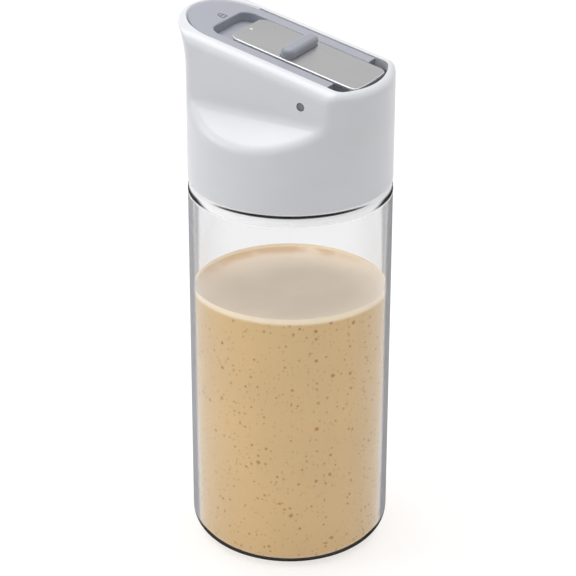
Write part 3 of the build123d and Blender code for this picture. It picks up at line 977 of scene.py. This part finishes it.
@dataclass
class Thread:
    """A screw thread: ridges that run up a round wall and fade at both ends.

    Its depth is below 0 for a thread on the inside of a wall.
    """

    radius: float
    depth: float
    low_z: float
    starts: int = 2
    root: float = 1.7 * MM
    crest_share: float = 0.45
    lead: float = 8.0 * MM
    turns: float = 0.85
    steps: int = 84
    bite: float = 0.25 * MM
    fade: int = 7
    near_angle: float = 0.01
    sharp: float = 40.0

    def ridge(self, name: str, turn: float) -> bpy.types.Object:
        """Makes the ridge of one start.

        Args:
            name: The piece's name.
            turn: The angle of its lower end, in degrees.

        Returns:
            The ridge.
        """
        Modeller.clear()
        outward = math.copysign(1.0, self.depth)
        tall = abs(self.depth) + self.bite
        middle = self.radius + outward * (tall / 2 - self.bite)
        centre = (middle, 0.0, self.low_z)
        upright = (math.pi / 2, 0.0, 0.0)
        bpy.ops.mesh.primitive_plane_add(size=1.0, location=centre, rotation=upright)
        ridge = Modeller.named(name)
        ridge.scale = (tall, self.root, 1.0)
        bpy.ops.object.transform_apply(location=True, rotation=True, scale=True)
        Modeller.edit()
        Modeller.pick(ridge, lambda co: (co.x - middle) * outward > 0.0)
        bpy.ops.transform.resize(value=(1.0, 1.0, self.crest_share), center_override=centre)
        Modeller.every()
        bpy.ops.mesh.delete(type="ONLY_FACE")
        Modeller.leave()
        Modeller.apply(
            ridge, "SCREW", angle=self.turns * 2 * math.pi, screw_offset=self.lead * self.turns,
            steps=self.steps, render_steps=self.steps, use_merge_vertices=False,
        )
        self.fade_ends(ridge, outward)
        Modeller.edit()
        bpy.ops.mesh.fill_holes(sides=4)
        Modeller.every()
        bpy.ops.mesh.normals_make_consistent(inside=False)
        bpy.ops.transform.rotate(
            value=-math.radians(turn), orient_axis="Z", center_override=ORIGIN,
        )
        Modeller.leave()
        Modeller.smooth(ridge, self.sharp)
        return ridge

    def wind(self, stem: str, body: Body, slot: Slot, look: bpy.types.Material) -> None:
        """Makes all the starts of the thread.

        Args:
            stem: Their name without its number.
            body: The body that they move with.
            slot: The record's slot that their finish belongs to.
            look: Their finish.
        """
        for count in range(self.starts):
            ridge = self.ridge(f"{stem}_{count + 1}", 360.0 / self.starts * count)
            Modeller.settle(ridge, body, slot, look)

    def fade_ends(self, ridge: bpy.types.Object, outward: float) -> None:
        """Sinks the last few crests at each end into the wall.

        Args:
            ridge: The ridge, in object mode.
            outward: 1 for a ridge on the outside of a wall, -1 for one inside.
        """
        rise = self.lead * self.turns / self.steps
        for count in range(self.fade):
            share = (count + 0.5) / self.fade
            ratio = (self.radius + self.depth * share) / (self.radius + self.depth)
            for step in (count, self.steps - count):
                angle = self.turns * 2 * math.pi * step / self.steps
                centre = (0.0, 0.0, self.low_z + rise * step)
                Modeller.edit()
                Modeller.pick(ridge, lambda co: self.on_crest(co, angle, outward))
                bpy.ops.transform.resize(value=(ratio, ratio, 1.0), center_override=centre)
                Modeller.leave()

    def on_crest(self, place: Vector, angle: float, outward: float) -> bool:
        """Tells the crest vertices of one step from the rest.

        Args:
            place: The vertex's place.
            angle: The step's angle round the axis.
            outward: 1 for a ridge on the outside of a wall, -1 for one inside.

        Returns:
            True for such a vertex.
        """
        reach = math.hypot(place.x, place.y)
        away = (math.atan2(place.y, place.x) - angle + math.pi) % (2 * math.pi) - math.pi
        out_of_wall = (reach - self.radius) * outward > 0.1 * abs(self.depth)
        return abs(away) < self.near_angle and out_of_wall


@dataclass
class Bottle:
    """The glass jar, its thread and the dressing in it."""

    radius: float = 34.0 * MM
    wall: float = 1.9 * MM
    base: float = 1.9 * MM
    base_edge: float = 8.0 * MM
    base_inner: float = 4.5 * MM
    punt: float = 24.0 * MM
    punt_deep: float = 0.5 * MM
    shoulder_z: float = 131.8 * MM
    shoulder_edge: float = 2.75 * MM
    shoulder_wall: float = 2.5 * MM
    shoulder_bend: float = 2.2 * MM
    neck_root: float = 1.0 * MM
    neck_r: float = 29.3 * MM
    neck_wall: float = 2.2 * MM
    neck_top: float = 146.0 * MM
    rim: float = 0.8 * MM
    sides: int = 160
    sharp: float = 40.0
    thread_depth: float = 0.5 * MM
    thread_z: float = 136.0 * MM
    level: float = 95.2 * MM
    gap: float = 0.1 * MM
    skin: float = 0.02 * MM
    meniscus: float = 1.6 * MM
    meniscus_lip: float = 0.05 * MM
    spread: float = 2.8 * MM
    film_rings: tuple[float, ...] = (0.9, 0.75, 0.6, 0.4, 0.2)
    fill_sides: int = 128
    fill_sharp: float = 60.0

    def outline(self) -> Outline:
        """The glass outline, from the axis underneath round to the axis inside.

        Returns:
            Its radii and heights.
        """
        inner = self.radius - self.wall
        mouth = self.neck_r - self.neck_wall
        under = self.shoulder_z - self.shoulder_wall
        ball = (self.punt**2 + self.punt_deep**2) / (2 * self.punt_deep)
        half = math.degrees(math.asin(self.punt / ball))
        points = arc((0.0, self.punt_deep - ball), ball, 90.0, 90.0 - half, 6)
        edge = self.base_edge
        points += arc((self.radius - edge, edge), edge, -90.0, 0.0, 14)
        points += [(self.radius, edge + (self.shoulder_z - edge) * i / 4) for i in (1, 2, 3)]
        top = self.shoulder_edge
        points += arc((self.radius - top, self.shoulder_z - top), top, 0.0, 90.0, 9)
        root = self.neck_root
        points += arc((self.neck_r + root, self.shoulder_z + root), root, 270.0, 180.0, 4)
        rim, high = self.rim, self.neck_top - self.rim
        points += arc((self.neck_r - rim, high), rim, 0.0, 90.0, 5)
        points += arc((mouth + rim, high), rim, 90.0, 180.0, 5)
        bend = self.shoulder_bend
        points += arc((mouth + bend, under + bend), bend, 180.0, 270.0, 5)
        points += arc((inner - bend, under - bend), bend, 90.0, 0.0, 5)
        hollow = self.base_inner
        points += arc((inner - hollow, self.base + hollow), hollow, 0.0, -90.0, 12)
        return points + [(0.0, self.base)]

    def fill_outline(self) -> Outline:
        """The dressing's outline, from the axis below, up the glass and in along the top.

        Returns:
            Its radii and heights.
        """
        radius = self.radius - self.wall - self.gap
        hollow = self.base_inner - self.gap
        low = self.base + self.skin
        flat = self.level - self.meniscus
        points = [(0.0, low)]
        points += arc((radius - hollow, low + hollow), hollow, -90.0, 0.0, 12)
        points += [(radius, low + hollow + (self.level - low - hollow) * i / 3) for i in (1, 2)]
        points += [(radius, self.level - self.skin)]
        for inward, down in arc((0.0, 0.0), 1.0, 0.0, -90.0, 6)[:-1]:
            lip = radius - self.meniscus_lip - self.spread * (1.0 - inward)
            points.append((lip, self.level + self.meniscus * down))
        points += [(radius * share, flat) for share in self.film_rings]
        return points + [(0.0, flat)]

    def glass(self) -> None:
        """Turns the jar."""
        jar = Modeller.turned("glass_jar", self.outline(), self.sides)
        Modeller.smooth(jar, self.sharp)
        look = ClearGlass("clear_glass").material()
        Modeller.settle(jar, Body.BOTTLE, Slot.GLASS, look, ["glass_bottle"])

    def threads(self) -> None:
        """Winds the thread on the neck."""
        look = ClearGlass("thread_glass").material()
        thread = Thread(self.neck_r, self.thread_depth, self.thread_z)
        thread.wind("neck_thread", Body.BOTTLE, Slot.GLASS, look)

    def dressing(self) -> None:
        """Turns the dressing, which climbs the glass a little at its edge."""
        fill = Modeller.turned("dressing", self.fill_outline(), self.fill_sides)
        Modeller.smooth(fill, self.fill_sharp)
        look = Vinaigrette("dressing", self.level, self.meniscus).material()
        Modeller.settle(fill, Body.BOTTLE, Slot.DRESSING, look, ["dressing_fill"])

    def build(self) -> None:
        """Builds the pieces of the bottle."""
        self.glass()
        self.threads()
        self.dressing()


@dataclass
class Lid:
    """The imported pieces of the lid, and the thread inside its cap."""

    bore: float = 30.3 * MM
    thread_depth: float = -0.35 * MM
    thread_z: float = 134.9 * MM
    white: MouldedPlastic = MouldedPlastic("white_plastic", (0.81, 0.817, 0.848), 0.30)
    cap: MouldedPlastic = MouldedPlastic("cap_plastic", (0.78, 0.785, 0.80), 0.38)
    cap_thread: MouldedPlastic = MouldedPlastic("cap_thread", (0.78, 0.785, 0.80), 0.38)
    pin: DrawnSteel = DrawnSteel("pin_steel", (0.20, 0.20, 0.21), 0.35)

    def threads(self) -> None:
        """Winds the thread inside the cap's skirt."""
        thread = Thread(self.bore, self.thread_depth, self.thread_z)
        thread.wind("cap_thread", Body.LID, Slot.WHITE, self.cap_thread.material())

    def build(self) -> None:
        """Makes the thread and dresses the lid's pieces."""
        self.threads()
        dress("lid_shell", self.white.material())
        dress("inner_cap", self.cap.material())
        dress("lid_gasket", Silicone("gasket_silicone").material())
        dress("duct_seal", Silicone("seal_silicone").material())
        dress("hinge_pin", self.pin.material())
        dress("return_spring", DrawnSteel("spring_steel").material())


@dataclass
class PadlockMark:
    """A small printed padlock outline on the flap, laid in the sloping top's frame."""

    along: float = -26.6 * MM
    across: float = 0.9 * MM
    sink: float = 0.2 * MM
    body_long: float = 1.8 * MM
    body_wide: float = 3.0 * MM
    corner: float = 0.4 * MM
    line: float = 0.5 * MM
    shackle_r: float = 1.25 * MM
    thick: float = 0.05 * MM

    def lay(self, piece: bpy.types.Object) -> None:
        """Gives a flat outline its thickness and lays it on the flap.

        Args:
            piece: The outline.
        """
        Modeller.apply(piece, "SOLIDIFY", thickness=self.thick, offset=0.0)
        piece.location = on_slope(self.along, self.across, -self.sink)
        piece.rotation_euler = (0.0, TOP_SLOPE, 0.0)

    def body(self) -> bpy.types.Object:
        """The lock's body, a frame with rounded corners.

        Returns:
            The piece.
        """
        Modeller.clear()
        bpy.ops.mesh.primitive_plane_add(size=1.0)
        piece = Modeller.named("padlock_body")
        piece.scale = (self.body_long, self.body_wide, 1.0)
        bpy.ops.object.transform_apply(scale=True)
        Modeller.edit()
        bpy.ops.mesh.bevel(offset=self.corner, segments=4, affect="VERTICES")
        bpy.ops.mesh.select_mode(type="FACE")
        Modeller.every()
        bpy.ops.mesh.inset(thickness=self.line)
        bpy.ops.mesh.delete(type="FACE")
        Modeller.leave()
        self.lay(piece)
        return piece

    def shackle(self) -> bpy.types.Object:
        """The lock's shackle, half a ring that stands on the body.

        Returns:
            The piece.
        """
        Modeller.clear()
        bpy.ops.mesh.primitive_circle_add(
            vertices=32, radius=self.shackle_r, fill_type="NOTHING",
        )
        bow = Modeller.named("padlock_shackle")
        Modeller.edit()
        Modeller.pick(bow, lambda co: co.x > 1e-6)
        bpy.ops.mesh.delete(type="VERT")
        Modeller.every()
        Modeller.step((self.shackle_r, 0.0), (self.shackle_r - self.line, 0.0))
        Modeller.every()
        bpy.ops.mesh.normals_make_consistent(inside=False)
        bpy.ops.transform.translate(value=(-self.body_long / 2, 0.0, 0.0))
        Modeller.leave()
        self.lay(bow)
        return bow

    def build(self) -> None:
        """Builds the mark."""
        ink = PrintedInk("mark_ink").material()
        for piece in (self.body(), self.shackle()):
            Modeller.settle(piece, Body.FLAP, Slot.GREY, ink)


@dataclass
class Plate:
    """The steel plate on the slide: round corners, a bowed rear and a slot for the thumb ridge."""

    front: float = -17.3 * MM
    rear: float = 30.7 * MM
    bow: float = 0.7 * MM
    bow_sides: int = 640
    half_wide: float = 10.6 * MM
    corner: float = 3.2 * MM
    corner_runs: int = 8
    thick: float = 1.24 * MM
    bevel: float = 0.3 * MM
    bevel_angle: float = 60.0
    sharp: float = 15.0
    slot_x: float = 3.107 * MM
    slot_long: float = 5.0 * MM
    slot_wide: float = 19.2 * MM
    slot_round: float = 0.49
    through: float = 4.0
    near: float = 0.2 * MM
    weld: float = 0.15 * MM

    def block(
        self, name: str, span: Span, half: float, heights: Span, corner: float,
    ) -> bpy.types.Object:
        """A block with rounded upright corners.

        Args:
            name: Its name.
            span: Where it starts and ends along the slope.
            half: Half its width.
            heights: The heights of its underside and its top.
            corner: The corners' radius.

        Returns:
            The block.
        """
        Modeller.clear()
        centre = ((span[0] + span[1]) / 2, 0.0, (heights[0] + heights[1]) / 2)
        bpy.ops.mesh.primitive_cube_add(size=1.0, location=centre)
        block = Modeller.named(name)
        block.scale = (span[1] - span[0], 2 * half, heights[1] - heights[0])
        bpy.ops.object.transform_apply(location=True, rotation=True, scale=True)
        near = self.near
        Modeller.edit()
        for x, y in [(x, y) for x in span for y in (-half, half)]:
            Modeller.pick(block, lambda co: abs(co.x - x) < near and abs(co.y - y) < near)
            bpy.ops.mesh.bevel(offset=corner, segments=self.corner_runs, affect="EDGES")
        Modeller.leave()
        return block

    def shape(self, piece: bpy.types.Object, tool: bpy.types.Object, operation: str) -> None:
        """Cuts a piece with a tool, which is then thrown away.

        Args:
            piece: The piece.
            tool: The tool.
            operation: The Boolean modifier's operation.
        """
        Modeller.apply(piece, "BOOLEAN", object=tool, operation=operation, solver="EXACT")
        bpy.data.objects.remove(tool)
        Modeller.edit()
        bpy.ops.mesh.remove_doubles(threshold=self.weld)
        Modeller.leave()

    def cover(self) -> bpy.types.Object:
        """The plate, flat and level.

        Returns:
            The plate.
        """
        span, heights = (self.front, self.rear), (-self.thick, 0.0)
        plate = self.block("steel_cover", span, self.half_wide, heights, self.corner)
        past = self.through * self.thick
        swing = (self.half_wide**2 + self.bow**2) / (2 * self.bow)
        middle = (self.rear - swing, 0.0, 0.0)
        Modeller.clear()
        bpy.ops.mesh.primitive_cylinder_add(
            vertices=self.bow_sides, radius=swing, depth=2 * past, location=middle,
        )
        self.shape(plate, bpy.context.object, "INTERSECT")
        reach = (self.slot_x - self.slot_long / 2, self.slot_x + self.slot_long / 2)
        corner = self.slot_round * self.slot_long
        slot = self.block("slot", reach, self.slot_wide / 2, (-past, past), corner)
        self.shape(plate, slot, "DIFFERENCE")
        Modeller.apply(
            plate, "BEVEL", width=self.bevel, segments=3, limit_method="ANGLE",
            angle_limit=math.radians(self.bevel_angle), use_clamp_overlap=False,
        )
        return plate

    def build(self) -> None:
        """Builds the plate and lays it on the slope."""
        plate = self.cover()
        plate.location = on_slope(0.0, 0.0, 0.0)
        plate.rotation_euler = (0.0, TOP_SLOPE, 0.0)
        Modeller.smooth(plate, self.sharp)
        look = BrushedPlate("brushed_plate").material()
        Modeller.settle(plate, Body.LOCK, Slot.PLATE, look, ["steel_plate"])


@dataclass
class Flap:
    """The flap, its seal and the slide lock."""

    grey: MouldedPlastic = MouldedPlastic("grey_plastic", (0.39, 0.405, 0.46), 0.42)
    slider: MouldedPlastic = MouldedPlastic("slider_plastic", (0.35, 0.365, 0.415), 0.40)

    def build(self) -> None:
        """Dresses the flap's pieces and builds its plate and mark."""
        dress("flap_lever", self.grey.material())
        dress("pour_seal", Silicone("stopper_silicone").material())
        dress("lock_slider", self.slider.material())
        Plate().build()
        PadlockMark().build()


@dataclass(frozen=True)
class Lamp:
    """A soft square lamp that stands at a place, with its side and its power in watts."""

    name: str
    place: Place
    size: float
    power: float

    def hang(self, target: Vector) -> None:
        """Adds the lamp to the scene.

        Args:
            target: The place that it is aimed at.
        """
        data = bpy.data.lights.new(self.name, "AREA")
        data.size = self.size
        data.energy = self.power
        lamp = bpy.data.objects.new(self.name, data)
        bpy.context.scene.collection.objects.link(lamp)
        lamp.location = self.place
        lamp.rotation_mode = "QUATERNION"
        lamp.rotation_quaternion = (target - Vector(self.place)).to_track_quat("-Z", "Y")


@dataclass
class Studio:
    """The camera, the floor, the world and the lamps."""

    azimuth: float = 30.3
    pitch: float = 25.5
    roll: float = 0.15
    distance: float = 750.0 * MM
    target_z: float = 91.05 * MM
    sensor: float = 36.0
    lens: float = 138.3
    shift: float = -0.0039
    floor_size: float = 8.0
    floor_colour: Colour = (0.9, 0.9, 0.9)
    floor_glow: float = 1.29
    floor_share: float = 0.5
    ambient: float = 0.53
    lamps: tuple[Lamp, ...] = (
        Lamp("overhead", (-0.1, 0.1, 1.2), 0.9, 8.6),
        Lamp("left", (-1.0, -0.7, 0.8), 0.6, 3.2),
    )

    def camera(self) -> None:
        """Sets up the photograph's view."""
        data = bpy.data.cameras.new("view")
        data.sensor_width = self.sensor
        data.lens = self.lens
        data.shift_x = self.shift
        camera = bpy.data.objects.new("view", data)
        bpy.context.scene.collection.objects.link(camera)
        turn, tip = math.radians(self.azimuth), math.radians(self.pitch)
        level = math.cos(tip)
        back = Vector((math.sin(turn) * level, -math.cos(turn) * level, math.sin(tip)))
        camera.location = Vector((0.0, 0.0, self.target_z)) + back * self.distance
        camera.rotation_mode = "QUATERNION"
        rolled = Quaternion(back, math.radians(self.roll))
        camera.rotation_quaternion = rolled @ (-back).to_track_quat("-Z", "Y")
        bpy.context.scene.camera = camera

    def floor(self) -> None:
        """Lays a pale floor that shows as white but keeps the shadow."""
        Modeller.clear()
        bpy.ops.mesh.primitive_plane_add(size=self.floor_size)
        plane = bpy.context.object
        plane.name = "floor"
        shade = Shade.fresh("floor")
        shown = shade.rays("Is Camera Ray", "Is Glossy Ray", "Is Transmission Ray")
        matte = shade.node("ShaderNodeBsdfDiffuse", {}, {"Color": solid(self.floor_colour)})
        white = {"Color": (1.0, 1.0, 1.0, 1.0), "Strength": self.floor_glow}
        glow = shade.node("ShaderNodeEmission", {}, white)
        shares = {0: shown * self.floor_share, 1: matte, 2: glow}
        mixed = shade.node("ShaderNodeMixShader", {}, shares)
        shade.node("ShaderNodeOutputMaterial", {}, {"Surface": mixed})
        plane.data.materials.append(shade.owner)

    def world(self) -> None:
        """Bright where it is seen, and a plain soft light everywhere else."""
        bpy.context.scene.world = bpy.data.worlds.new("studio")
        shade = Shade(bpy.context.scene.world)
        shown = shade.rays("Is Camera Ray", "Is Transmission Ray", "Is Glossy Ray")
        strength = shown * (1.0 - self.ambient) + self.ambient
        back = shade.node("ShaderNodeBackground", {}, {"Strength": strength})
        shade.node("ShaderNodeOutputWorld", {}, {"Surface": back})

    def build(self) -> None:
        """Builds the studio."""
        self.camera()
        self.floor()
        self.world()
        for lamp in self.lamps:
            lamp.hang(Vector((0.0, 0.0, self.target_z)))


def main() -> None:
    """Builds every sub-assembly, then the studio."""
    logging.basicConfig(level=logging.INFO)
    bpy.context.scene.view_settings.view_transform = "Standard"
    for part in (Bottle(), Lid(), Flap(), Studio()):
        part.build()
        LOG.info("built %s", type(part).__name__)


if __name__ == "__main__":
    main()
